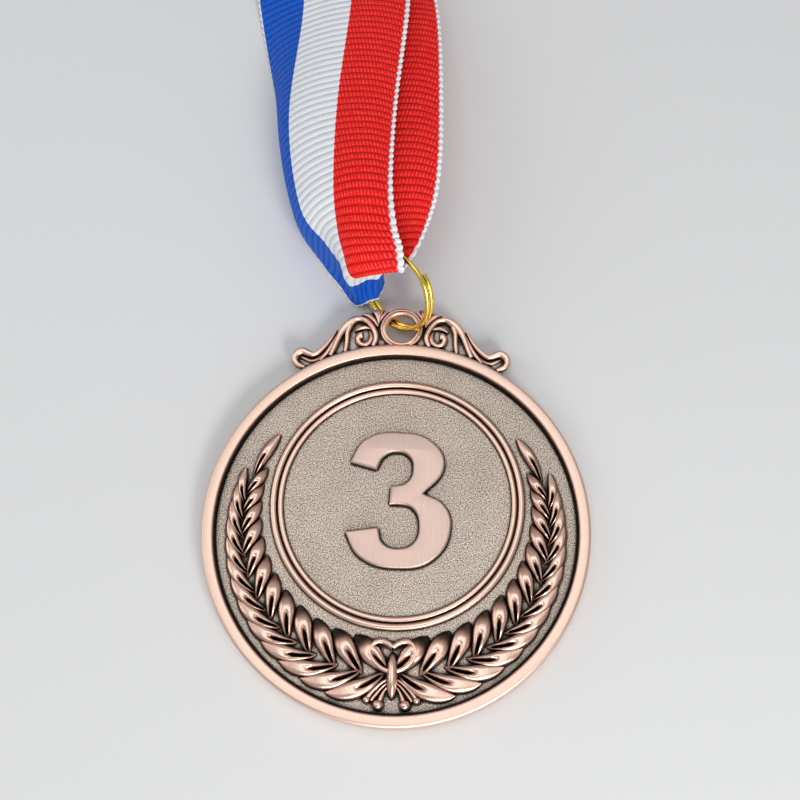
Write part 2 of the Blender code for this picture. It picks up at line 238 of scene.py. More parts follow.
@dataclass(frozen=True)
class Finish:
    """A surface finish; its material is made when a piece first wears it."""

    name: str

    @cached_property
    def material(self) -> Material:
        """The finish as a material.

        Returns:
            The same material each time.
        """
        shader = Shader(self.name)
        self.dress(shader)
        return shader.material

    def dress(self, shader: Shader) -> None:
        """Lay the finish on a shader; each finish has its own way."""
        raise NotImplementedError


@dataclass(frozen=True)
class AntiqueBronze(Finish):
    """Copper plate, blackened and rubbed back: near black in hollows, pink and bright on crests,
    with a painted cream highlight on the highest parts.
    """

    crest: Triple = (0.86, 0.54, 0.43)
    warm: Triple = (0.34, 0.17, 0.12)
    patina: Triple = (0.014, 0.016, 0.013)
    # Painted highlight: cream laid on the highest, most open relief in place of light caught
    # there.
    painted_highlight: Triple = (0.95, 0.76, 0.6)
    reach: float = 0.5
    rough: float = 0.5
    brush: float = 0.012
    dusk: float = 0.0
    # Share of the painted cream highlight that shows.
    highlight_share: float = 0.45

    def dress(self, shader: Shader) -> None:
        """Build the finish.

        Args:
            shader: The shader that takes it.
        """
        relief = shader.attribute("relief")
        open_air = shader.cavity(self.reach)
        blotch = shader.noise(900, 3)
        fine = shader.noise(6000, 2)
        streak = shader.noise(5000, 2, (1, 0.04, 1))
        height = relief * 0.55 + open_air * 0.45 + (blotch - 0.5) * 0.12
        worn = height.rise(0.5 + self.dusk, 0.72 + self.dusk)
        bright = height.rise(0.6 + self.dusk, 0.86 + self.dusk / 2)
        base = shader.mix(worn, self.patina, self.warm)
        base = shader.mix(bright, base, self.crest)
        # Painted highlight: cream mixed onto the highest relief and the bevels.
        base = shader.mix(height.rise(0.8, 0.97) * self.highlight_share, base, self.painted_highlight)
        base = shader.mix((fine - 0.45) * 0.35, base, self.warm)
        base = shader.mix((streak - 0.4) * (self.brush * 9), base, self.warm)
        rough = self.rough - bright * 0.12 + (fine - 0.5) * 0.14
        grain = shader.bump(fine * 0.4 + streak * 0.6, self.brush)
        shader.finish(Base_Color=base, Metallic=1.0, Roughness=rough, Normal=grain)


@dataclass(frozen=True)
class Stippled(Finish):
    """The sunken ground between the raised work: sand-cast grain, grey where it is toned, near
    black at the foot of the raised work as patina and painted shadow.
    """

    light: Triple = (0.92, 0.78, 0.65)
    toned: Triple = (0.22, 0.182, 0.15)
    # Patina at the foot of the raised work, which also serves as painted shadow there.
    patina: Triple = (0.02, 0.026, 0.02)
    grain: float = 6300.0
    depth: float = 0.09

    def dress(self, shader: Shader) -> None:
        """Build the finish.

        Args:
            shader: The shader that takes it.
        """
        grain = shader.noise(self.grain, 1.0)
        spread = shader.noise(260, 2)
        open_air = shader.cavity(0.65)
        speck = (grain + (spread - 0.5) * 0.1).rise(0.3, 0.68)
        base = shader.mix(speck, self.toned, self.light)
        # Patina and painted shadow: the ground goes near black where the raised work closes it
        # in.
        edge = (open_air + (grain - 0.5) * 0.16).rise(0.66, 0.85)
        base = shader.mix(edge, self.patina, base)
        normal = shader.bump(grain, self.depth)
        shader.finish(Base_Color=base, Metallic=0.85, Roughness=0.52, Normal=normal)


@dataclass(frozen=True)
class YellowWire(Finish):
    """Bright plated wire, with fine drawing marks, worn specks and painted shade where it lies
    close to other surfaces.
    """

    gold: Triple = (0.88, 0.66, 0.14)
    # Colour of the worn specks, also used as painted shade in close corners.
    wear_and_shade: Triple = (0.45, 0.27, 0.06)

    def dress(self, shader: Shader) -> None:
        """Build the finish.

        Args:
            shader: The shader that takes it.
        """
        marks = shader.noise(2600, 2)
        open_air = shader.cavity(0.5)
        base = shader.mix(marks.rise(0.62, 0.8) * 0.3, self.gold, self.wear_and_shade)
        # Painted shade: the wire goes duller where other surfaces are close, as between its
        # turns.
        base = shader.mix(open_air.rise(0.75, 0.3), base, self.wear_and_shade)
        rough = 0.16 + marks * 0.1
        normal = shader.bump(marks, 0.004)
        shader.finish(Base_Color=base, Metallic=1.0, Roughness=rough, Normal=normal)


@dataclass(frozen=True)
class Grosgrain(Finish):
    """Ribbed ribbon: three stripes between white selvedges, with painted highlights on the rib
    tops and painted shade in the valleys between ribs and threads.
    """

    cloth: Triples = ((0.86, 0.002, 0.002), (0.86, 0.88, 0.9), (0.0, 0.085, 0.56))
    # Lighter copies of the stripe colours, painted on the rib tops as highlights.
    painted_rib_highlights: Triples = ((1.0, 0.16, 0.12), (0.86, 0.88, 0.9), (0.01, 0.24, 0.85))
    # Darker copies of the stripe colours, painted in the valleys as shade.
    painted_rib_shade: Triples = ((0.16, 0.0, 0.0), (0.34, 0.36, 0.4), (0.0, 0.01, 0.1))
    seams: tuple[float, ...] = (0.022, 0.344, 0.656, 0.99)
    softness: float = 0.003
    threads: float = 0.5

    def stripes(self, shader: Shader, across: Value, tones: Triples) -> Value:
        """Lay the three stripes and the white selvedges.

        Args:
            shader: The cloth's shader.
            across: Share of the width, from the red selvedge.
            tones: Red, white and blue.

        Returns:
            The colour.
        """
        red, white, blue = tones
        base = white
        for seam, tone in zip(self.seams, (red, white, blue, white)):
            base = shader.mix(across.rise(seam - self.softness, seam + self.softness), base, tone)
        return base

    def dress(self, shader: Shader) -> None:
        """Build the cloth from the across and along values of the strip.

        Args:
            shader: The shader that takes it.
        """
        across = shader.attribute("across")
        along = shader.attribute("along")
        phase = along * (math.pi / RIB_PITCH)
        rib = phase.sine().size()
        yarn = (across * (math.pi * RIBBON_WIDTH / self.threads) + phase * 0.5).sine().size()
        fuzz = shader.noise(5200, 2)
        wander = across + (rib - 0.5) * 0.005 + (fuzz - 0.5) * 0.008
        base = self.stripes(shader, wander, self.cloth)
        # Painted highlight: specks of lighter stripe colours on the rib tops.
        top = self.stripes(shader, wander, self.painted_rib_highlights)
        rib_highlight_mask = yarn.rise(0.55, 1.0) * rib.rise(0.35, 0.75) * fuzz.rise(0.3, 0.7)
        base = shader.mix(rib_highlight_mask * 0.75, base, top)
        # Painted shade: darker stripe colours in the rib valleys and between threads, patchy
        # along the ribbon.
        patchy = shader.noise(700, 2)
        rib_valley_shade = rib.rise(0.55, 0.0) * (patchy * 0.7 + 0.1) + yarn.rise(0.4, 0.0) * 0.1
        shade = self.stripes(shader, wander, self.painted_rib_shade)
        base = shader.mix(rib_valley_shade, base, shade)
        height = rib * 0.6 + yarn * rib * 0.28 + fuzz * 0.12
        normal = shader.bump(height, 0.14)
        finish = {"Sheen_Weight": 0.03, "Specular_IOR_Level": 0.2}
        shader.finish(Base_Color=base, Roughness=0.6, Normal=normal, **finish)


@dataclass(frozen=True)
class WovenTape(Finish):
    """Plain white tape or thread with a fine weave."""

    base: Triple = (0.82, 0.82, 0.8)
    scale: float = 1500.0

    def dress(self, shader: Shader) -> None:
        """Build the finish.

        Args:
            shader: The shader that takes it.
        """
        inputs = {"Vector": shader.place(), "Scale": self.scale / 3, "Distortion": 0.4}
        waves = [{"wave_type": "BANDS", "bands_direction": direction} for direction in "YX"]
        lines, cross = [shader.node("ShaderNodeTexWave", wave, inputs, "Fac") for wave in waves]
        weave = lines * 0.5 + cross * 0.5
        # Painted shade: a darker copy of the white between the threads of the weave.
        shade = tuple(part * 0.6 for part in self.base)
        base = shader.mix(weave, shade, self.base)
        normal = shader.bump(weave, 0.08)
        shader.finish(Base_Color=base, Roughness=0.75, Normal=normal)


@dataclass(frozen=True)
class Backdrop(Finish):
    """Plain pale floor with the faintest mottling."""

    base: Triple = (0.74, 0.74, 0.73)

    def dress(self, shader: Shader) -> None:
        """Build the floor's finish.

        Args:
            shader: The shader that takes it.
        """
        mottle = shader.noise(60, 2)
        base = shader.mix(mottle * 0.1, self.base, (0.66, 0.66, 0.66))
        shader.finish(Base_Color=base, Roughness=0.8)


CRESTS = AntiqueBronze("antique_bronze_crests", rough=0.42)
LAUREL = AntiqueBronze("laurel_bronze", reach=0.6, rough=0.4, dusk=0.07)
SATIN = AntiqueBronze(
    "brushed_bronze", (0.64, 0.46, 0.4), (0.36, 0.22, 0.18), reach=0.3, brush=0.03, highlight_share=0.15
)
RIM = AntiqueBronze("rim_bronze", (0.84, 0.55, 0.46), (0.4, 0.2, 0.15))
GROUND = Stippled("stippled_field")
HOLLOW = Stippled("toned_hollows", (0.74, 0.66, 0.6), (0.5, 0.43, 0.38), grain=5000, depth=0.012)
GOLD = YellowWire("yellow_gold_wire")
CLOTH = Grosgrain("striped_grosgrain")
TAPE = WovenTape("white_tape")
THREAD = WovenTape("white_thread", (0.88, 0.88, 0.86), 4000)
FLOOR = Backdrop("pale_floor")


# Mesh tools


def through(keys: Array, steps: int) -> Array:
    """Draw a Catmull-Rom curve through keys.

    Args:
        keys: Rows of any shape.
        steps: Rows from each key to the next.

    Returns:
        The curve's rows, up to the last key.
    """
    ends = np.concatenate([2 * keys[:1] - keys[1:2], keys, 2 * keys[-1:] - keys[-2:-1]])
    share = np.linspace(0, 1, steps, endpoint=False).reshape(-1, *[1] * (keys.ndim - 1))
    parts = []
    for before, start, end, after in zip(ends, ends[1:], ends[2:], ends[3:]):
        square = 2 * before - 5 * start + 4 * end - after
        cube = 3 * start - before - 3 * end + after
        parts.append(start + 0.5 * ((end - before) * share + square * share**2 + cube * share**3))
    return np.concatenate([*parts, keys[-1:]])


def travelled(rows: Array) -> Array:
    """Distance of each row from the first, as the mean over its points."""
    steps = np.linalg.norm(np.diff(rows, axis=0), axis=-1).reshape(len(rows) - 1, -1)
    return np.concatenate([[0.0], np.cumsum(steps.mean(axis=1))])


def respaced(rows: Array, reach: Array, count: int) -> Array:
    """Read rows at even distances.

    Args:
        rows: Rows of any shape.
        reach: Distance of each row.
        count: Rows wanted.

    Returns:
        The rows in between, linearly.
    """
    wanted = np.linspace(reach[0], reach[-1], count)
    read = [np.interp(wanted, reach, column) for column in rows.reshape(len(rows), -1).T]
    return np.stack(read, axis=-1).reshape(count, *rows.shape[1:])


def smooth(keys: Sequence, count: int) -> Array:
    """Smooth a list of x, y and more into rows that are evenly spaced over the face."""
    dense = through(np.array(keys), 16)
    return respaced(dense, travelled(dense[:, :2]), count)


def ease(share: Array | float, low: float, high: float) -> Array | float:
    """Smooth step of plain numbers from 0 at low to 1 at high."""
    part = np.clip((share - low) / (high - low), 0, 1)
    return part * part * (3 - 2 * part)


@dataclass
class Draft:
    """Triples, faces and point values of one piece while it is being made, in millimetres."""

    points: list[Array] = field(default_factory=list)
    faces: list[tuple[int, ...]] = field(default_factory=list)
    values: dict[str, list[Array]] = field(default_factory=dict)
    count: int = 0

    def add(self, points: Array, **values: Array) -> Array:
        """Add points.

        Args:
            points: An array whose last axis is x, y, z.
            values: A number for each point, by name.

        Returns:
            The new points' numbers, in the shape of the array.
        """
        shape = points.shape[:-1]
        self.points.append(points.reshape(-1, 3))
        for name, numbers in values.items():
            self.values.setdefault(name, []).append(np.broadcast_to(numbers, shape).reshape(-1))
        start = self.count
        self.count += int(np.prod(shape))
        return np.arange(start, self.count).reshape(shape)

    def skin(self, rows: Array, closed: bool = False) -> None:
        """Join rings of points with faces.

        Args:
            rows: Point numbers, one row to a ring.
            closed: Join the last ring to the first; otherwise both ends are capped.
        """
        index = np.concatenate([rows, rows[:, :1]], axis=1)
        if closed:
            index = np.concatenate([index, index[:1]])
        corners = (index[:-1, :-1], index[:-1, 1:], index[1:, 1:], index[1:, :-1])
        quads = np.stack(corners, axis=-1).reshape(-1, 4)
        self.faces.extend(map(tuple, quads.tolist()))
        if not closed:
            self.faces += [tuple(rows[0].tolist()), tuple(rows[-1].tolist())]

    def piece(
        self,
        name: str,
        finish: Finish,
        crease: float = 60.0,
        body: Body = Body.MEDAL,
    ) -> Object:
        """Make the object and let it ride.

        Args:
            name: The piece's name.
            finish: Its finish.
            crease: Edges sharper than this many degrees stay sharp.
            body: The body that it rides on.

        Returns:
            The object.
        """
        mesh = bpy.data.meshes.new(name)
        mesh.from_pydata((np.concatenate(self.points) * MM).tolist(), [], self.faces)
        for value, parts in self.values.items():
            layer = mesh.attributes.new(value, "FLOAT", "POINT")
            layer.data.foreach_set("value", np.concatenate(parts).astype(np.float32))
        work = bmesh.new()
        work.from_mesh(mesh)
        bmesh.ops.recalc_face_normals(work, faces=work.faces)
        work.to_mesh(mesh)
        work.free()
        mesh.shade_smooth()
        mesh.set_sharp_from_angle(angle=math.radians(crease))
        mesh.materials.append(finish.material)
        made = bpy.data.objects.new(name, mesh)
        bpy.context.scene.collection.objects.link(made)
        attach(made, body.value)
        LOG.info("%s: %d points", name, len(mesh.vertices))
        return made


def turned(
    draft: Draft,
    profile: Sequence[Triple],
    centre: Pair = (0.0, 0.0),
    steps: int = 256,
) -> None:
    """Turn a closed profile round a vertical axis.

    Args:
        draft: The piece.
        profile: (radius, height, relief) round the section.
        centre: The axis's x and y.
        steps: Triples round the axis.
    """
    keys = np.array(profile, float)
    angle = np.linspace(0, math.tau, steps, endpoint=False)[:, None]
    x = centre[0] + keys[:, 0] * np.cos(angle)
    y = centre[1] + keys[:, 0] * np.sin(angle)
    z = np.broadcast_to(keys[:, 1], x.shape)
    draft.skin(draft.add(np.stack([x, y, z], axis=-1), relief=keys[:, 2]), closed=True)


def raised(
    draft: Draft,
    path: Array,
    foot: float,
    top: float,
    slit: Array | float = 0.0,
    squareness: float = 2.0,
    columns: int = 13,
    shade_factor: Array | float = 1.0,
) -> None:
    """Sweep a crowned band along a path on the face.

    Args:
        draft: The piece.
        path: Rows of x, y, full width and height above the foot.
        foot: Height of its underside.
        top: Height above the foot that counts as full relief.
        slit: Depth of a slit down the middle, for each row.
        squareness: 2 for a round crown, more for a flatter one.
        columns: Triples across.
        shade_factor: Factor on the relief of each row; below 1 it stays darker.
    """
    along = np.gradient(path[:, :2], axis=0)
    along /= np.linalg.norm(along, axis=1, keepdims=True) + 1e-9
    side = np.stack([-along[:, 1], along[:, 0]], axis=1)
    share = np.sin(np.linspace(-1, 1, columns) * math.pi / 2)
    crown = (1 - np.abs(share) ** squareness).clip(0) ** 0.5
    rows = np.zeros((len(path), columns, 3))
    offset = side[:, None, :] * (path[:, 2, None] / 2 * share)[..., None]
    rows[..., :2] = path[:, None, :2] + offset
    height = path[:, 3, None] * crown
    height = height - np.reshape(slit, (-1, 1)) * np.exp(-((share / 0.2) ** 2)) * crown
    rows[..., 2] = foot + height
    # A factor below 1 lowers the relief of a row, which paints shade on it.
    relief = (height / top).clip(0, 1) * np.reshape(shade_factor, (-1, 1))
    draft.skin(draft.add(rows, relief=relief))


def dome(draft: Draft, centre: Pair, size: Triple, steps: int = 28) -> None:
    """Raise an oval button from the foot of the raised work.

    Args:
        draft: The piece.
        centre: Its x and y.
        size: Half width, half length and height.
        steps: Triples round it.
    """
    tilt = np.linspace(0, math.pi / 2, 9)[:-1, None]
    turn = np.linspace(0, math.tau, steps, endpoint=False)[None]
    x = centre[0] + size[0] * np.cos(tilt) * np.cos(turn)
    y = centre[1] + size[1] * np.cos(tilt) * np.sin(turn)
    rise = np.sin(tilt) + 0 * turn
    draft.skin(draft.add(np.stack([x, y, FOOT + size[2] * rise], axis=-1), relief=rise))


def wire(draft: Draft, line: Array, radius: float, sides: int) -> None:
    """Sweep a round wire along a line in space.

    Args:
        draft: The piece.
        line: Triples on the wire's axis.
        radius: The wire's radius.
        sides: Triples round the wire.
    """
    along = np.gradient(line, axis=0)
    along /= np.linalg.norm(along, axis=1, keepdims=True)
    normal = np.cross(along[0], (0.3, 0.5, 0.8))
    rings = []
    angle = np.linspace(0, math.tau, sides, endpoint=False)[:, None]
    for point, direction in zip(line, along):
        normal = normal - direction * np.dot(normal, direction)
        normal /= np.linalg.norm(normal)
        other = np.cross(direction, normal)
        rings.append(point + radius * (np.cos(angle) * normal + np.sin(angle) * other))
    draft.skin(draft.add(np.array(rings)))


# The medal


@dataclass
class Blank:
    """The disc: rim, sunken ground, double ring and flat back."""

    radius: float = 25.0
    rim_inner: float = 23.6
    thickness: float = 3.0
    axis: float = 0.02
    border_centre: Pair = (0.1, 3.34)

    def build(self) -> None:
        """Make the disc's pieces."""
        self.rim()
        self.ground()
        self.border()

    def rim(self) -> None:
        """Turn the rim and back in one shell, which stands for the whole casting."""
        draft = Draft()
        top, outer, inner = self.thickness, self.radius, self.rim_inner
        profile = [
            (inner - 0.32, FIELD - 0.2, 0.0), (inner - 0.32, FIELD + 0.02, 0.0),
            (inner - 0.24, FIELD + 0.14, 0.0), (inner - 0.13, top - 0.22, 0.3),
            (inner - 0.06, top - 0.08, 0.75), (inner + 0.03, top - 0.015, 1.0),
            (inner + 0.14, top, 1.0), (outer - 0.42, top, 1.0), (outer - 0.28, top - 0.02, 1.0),
            (outer - 0.14, top - 0.09, 1.0), (outer - 0.04, top - 0.22, 0.95),
            (outer, top - 0.4, 0.85), (outer, 0.4, 0.8), (outer - 0.1, 0.12, 0.85),
            (outer - 0.3, 0.0, 0.9), (self.axis, 0.0, 0.92), (self.axis, FIELD - 0.2, 0.0),
        ]
        turned(draft, profile)
        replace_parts(draft.piece("medal_rim_and_back", RIM), "medal_body")

    def ground(self) -> None:
        """Turn the sunken ground."""
        draft = Draft()
        edge = self.rim_inner - 0.28
        radii = (self.axis, 4, 8, 12, 16, 19, 21, 22.4, edge - 0.25)
        profile = [(radius, FIELD, 0.3) for radius in radii]
        profile += [(edge, FIELD - 0.06, 0.0), (edge, FIELD - 0.15, 0.0)]
        turned(draft, [*profile, (self.axis, FIELD - 0.15, 0.0)], steps=192)
        draft.piece("medal_ground", GROUND, 40)

    def border(self) -> None:
        """Turn the off-centre double ring."""
        draft = Draft()
        profile = [
            (14.72, FOOT, 0.0), (14.78, FIELD + 0.1, 0.1), (14.86, FIELD + 0.34, 0.7),
            (14.96, FIELD + 0.42, 0.9), (15.32, FIELD + 0.44, 0.9), (15.43, FIELD + 0.34, 0.7),
            (15.48, FIELD + 0.02, 0.0), (15.64, FIELD + 0.02, 0.0), (15.7, FIELD + 0.42, 0.9),
            (15.82, FIELD + 0.56, 1.0), (16.02, FIELD + 0.6, 1.0), (16.26, FIELD + 0.58, 1.0),
            (16.42, FIELD + 0.44, 0.85), (16.5, FIELD + 0.1, 0.1), (16.54, FOOT, 0.0),
        ]
        turned(draft, profile, self.border_centre)
        draft.piece("double_ring_border", CRESTS)


@dataclass
class Numeral:
    """The raised figure three with bevelled edges."""

    height: float = 0.95
    bevel: float = 0.25
    outline: Outline = (
        (-6.18, 8.48, False), (-4.27, 11.56, True), (0.19, 12.6, True), (4.55, 11.35, True),
        (6.14, 8.22, True), (3.49, 4.41, False), (6.14, 3.0, True), (7.1, 0.08, True),
        (4.98, -4.1, True), (0.41, -5.35, True), (-4.48, -3.99, True), (-6.5, -0.76, False),
        (-2.25, -0.13, False), (-1.51, -2.22, True), (0.51, -2.85, True), (2.43, -2.01, True),
        (3.06, 0.29, True), (2.11, 2.48, True), (0.3, 2.95, True), (-0.87, 2.89, False),
        (-0.76, 5.29, False), (1.36, 5.92, True), (2.11, 7.9, True), (1.57, 9.36, True),
        (-0.02, 9.99, True), (-1.72, 9.36, True), (-2.67, 7.54, False),
    )

    def build(self) -> None:
        """Cast the figure."""
        plate = Plate(self.outline, FOOT, FIELD + self.height, self.bevel, 14)
        plate.build("numeral_three", SATIN, FIELD)


@dataclass
class Plate:
    """A flat shape with rounded upper edges, drawn as a smooth outline with an optional hole."""

    outline: Outline
    foot: float
    top: float
    bevel: float
    resolution: int = 12
    hole: Triple | None = None

    def build(self, name: str, finish: Finish, ground: float) -> None:
        """Extrude the outline and mark its relief by height.

        Args:
            name: The piece's name.
            finish: Its finish.
            ground: The height with no relief.
        """
        curve = bpy.data.curves.new(name, "CURVE")
        curve.dimensions = "2D"
        curve.fill_mode = "BOTH"
        curve.extrude = (self.top - self.foot) / 2 - self.bevel
        curve.bevel_depth = self.bevel
        curve.bevel_resolution = 3
        curve.offset = -self.bevel
        self.spline(curve, self.outline)
        if self.hole:
            x, y, radius = self.hole
            turns = np.arange(8) * math.tau / 8
            points = [(x + radius * math.cos(t), y + radius * math.sin(t), True) for t in turns]
            self.spline(curve, points)
        middle = (self.top + self.foot) / 2
        holder = bpy.data.objects.new(name, curve)
        mesh = holder.to_mesh()
        work = bmesh.new()
        work.from_mesh(mesh)
        bmesh.ops.remove_doubles(work, verts=work.verts, dist=0.004)
        points = np.array([vertex.co for vertex in work.verts]) + (0, 0, middle)
        faces = [tuple(vertex.index for vertex in face.verts) for face in work.faces]
        work.free()
        holder.to_mesh_clear()
        bpy.data.objects.remove(holder)
        bpy.data.curves.remove(curve)
        draft = Draft()
        relief = ((points[:, 2] - ground) / (self.top - ground)).clip(0, 1)
        draft.add(points, relief=relief)
        draft.faces = faces
        draft.piece(name, finish, 30)

    def spline(self, curve: Curve, points: Outline) -> None:
        """Add one closed outline.

        Args:
            curve: The curve.
            points: Its corners.
        """
        spline = curve.splines.new("BEZIER")
        spline.bezier_points.add(len(points) - 1)
        spline.use_cyclic_u = True
        spline.resolution_u = self.resolution
        for knot, (x, y, smooth) in zip(spline.bezier_points, points):
            knot.co = (x, y, 0)
            knot.handle_left_type = "AUTO" if smooth else "VECTOR"
            knot.handle_right_type = knot.handle_left_type


@dataclass(frozen=True)
class Leaf:
    """One laurel leaf: a crowned blade with a slit from its base."""

    start: Pair
    end: Pair
    width: float
    bow: float = 0.0
    skew: float = 0.0
    tip_height: float = 0.6
    # Painted shade on the tip: how far the tip's relief is lowered so it comes out darker, in
    # place of the unlit reflection of a downturned tip.
    tip_shade: float = 0.0
    height: float = 0.85
    waist: float = 0.6

    def cut(self, draft: Draft, side: int) -> None:
        """Add the leaf to the wreath.

        Args:
            draft: The wreath.
            side: 1 for the right branch and -1 for the left.
        """
        share = np.linspace(0, 1, 26)
        radius = self.start[0] + (self.end[0] - self.start[0]) * share
        radius = radius + self.bow * np.sin(math.pi * share)
        angle = self.start[1] + (self.end[1] - self.start[1]) * share
        angle = np.radians(angle + self.skew * np.sin(math.pi * share))
        blade = 0.42 + 0.58 * ease(share, 0.0, self.waist)
        tip = ((share - self.waist) / (1 - self.waist)).clip(0, 1)
        blade = blade * (1 - tip**2.4).clip(0) ** 0.7 * ease(share, -0.06, 0.1) + 0.03
        crest = self.height * (0.3 + 0.7 * ease(share, 0.0, 0.36))
        crest = crest + (self.tip_height - 1) * self.height * ease(share, self.waist, 1.0)
        x = side * radius * np.sin(angle)
        y = -radius * np.cos(angle)
        lift = FIELD - FOOT
        path = np.stack([x, y, self.width * blade, lift + crest], axis=1)
        slit = 0.6 * ease(share, 0.04, 0.2) * (1 - ease(share, 0.4, 0.64))
        # Painted shade: the relief is lowered towards the tip, so the tip comes out darker.
        tip_shade_factor = 1 - 0.6 * self.tip_shade * ease(share, self.waist - 0.12, 0.92)
        raised(draft, path, FOOT, self.height + lift, slit, squareness=3.0, columns=19, shade_factor=tip_shade_factor)


@dataclass(frozen=True)
class Row:
    """Leaves along one side of a branch; a pair is the first leaf's value and its change."""

    count: int
    angle: Triple  # degrees from straight down: first, step and how fast the step shrinks
    reach: Pair  # degrees from a leaf's foot to its tip
    width: Pair
    tip: Pair  # radius of the tip
    root: float  # how far the foot stands off the stem
    bow: float
    skew: float
    tip_height: float = 0.6
    # Painted shade on the leaf tips: the first leaf's amount and its change.
    tip_shade: Pair = (0.0, 0.0)

    def leaves(self) -> list[Leaf]:
        """Lay out the row.

        Returns:
            Its leaves, from the foot of the branch up.
        """
        made = []
        for index in range(self.count):
            angle = self.angle[0] + self.angle[1] * index - self.angle[2] * index * index
            foot = angle - (self.reach[0] + self.reach[1] * index)
            start = (stem(foot) + self.root, foot)
            end = (self.tip[0] + self.tip[1] * index, angle)
            width = self.width[0] + self.width[1] * index
            tip_shade = max(0.0, self.tip_shade[0] + self.tip_shade[1] * index)
            leaf = Leaf(start, end, width, self.bow, self.skew, self.tip_height, tip_shade)
            made.append(leaf)
        return made


def stem(degrees: float) -> float:
    """Radius of a branch's stem at an angle from straight down."""
    return 18.3 + 1.5 * math.sin(math.radians(min(degrees, 90)))


@dataclass
class Laurel:
    """The two laurel branches, each an outer row, an inner row and a leaf at the tip."""

    outer: Row = Row(
        13, (21, 9.3, 0.15), (19.0, -0.42), (2.45, -0.095), (22.4, -0.1), -0.25, 0.35, -0.6
    )
    inner: Row = Row(
        12, (18.4, 10.8, 0.19), (18.5, -0.48), (2.75, -0.12), (14.5, 0.37), 0.25, -0.15, -0.9,
        tip_height=0.3, tip_shade=(1, -0.13),
    )
    last: Leaf = Leaf((stem(108), 108), (19.75, 128), 1.5)

    def build(self) -> None:
        """Cut both branches."""
        for side, name in ((-1, "laurel_left"), (1, "laurel_right")):
            draft = Draft()
            for leaf in (*self.outer.leaves(), *self.inner.leaves(), self.last):
                leaf.cut(draft, side)
            draft.piece(name, LAUREL, 50)


@dataclass
class Bow:
    """The bow at the foot of the wreath: heart loop, oval knot and forked tails."""

    centre: float = 0.18
    loop_width: float = 0.86
    loop_height: float = 1.05
    tail_height: float = 0.75
    loop: tuple[Pair, ...] = (
        (0.3, -18.2), (1.5, -17.7), (2.6, -16.6), (2.85, -15.6), (2.3, -14.75), (1.5, -14.5),
        (0.7, -14.75), (0.0, -15.2),
    )
    tails: tuple[Triples, ...] = (
        ((0.3, -19.0, 0.5), (1.2, -19.5, 0.6), (2.3, -20.5, 0.75), (3.1, -21.5, 0.95)),
        ((0.3, -19.4, 0.45), (1.1, -20.0, 0.5), (1.9, -20.9, 0.6), (2.5, -21.7, 0.7)),
        ((0.3, -19.8, 0.45), (0.9, -20.5, 0.55), (1.3, -21.3, 0.75), (1.6, -22.1, 1.0)),
    )
    buttons: tuple[tuple[float, float, Triple], ...] = (
        (1.65, -22.2, (0.82, 0.78, 1.1)),
        (3.1, -21.6, (0.6, 0.58, 0.95)),
    )
    knot_y: float = -18.7
    knot: Triple = (0.85, 3.0, 1.45)

    def build(self) -> None:
        """Cast the bow."""
        draft = Draft()
        for side in (-1, 1):
            band = (self.loop_width, self.loop_height)
            keys = [(self.centre + side * x, y, *band) for x, y in self.loop]
            raised(draft, smooth(keys, 60), FOOT, 0.95, squareness=2.6)
            for tail in self.tails:
                keys = [(self.centre + side * x, y, w, self.tail_height) for x, y, w in tail]
                raised(draft, smooth(keys, 30), FOOT, 0.8)
            for x, y, size in self.buttons:
                dome(draft, (self.centre + side * x, y), size)
        dome(draft, (self.centre, self.knot_y), self.knot, 40)
        draft.piece("bow_and_knot", LAUREL)


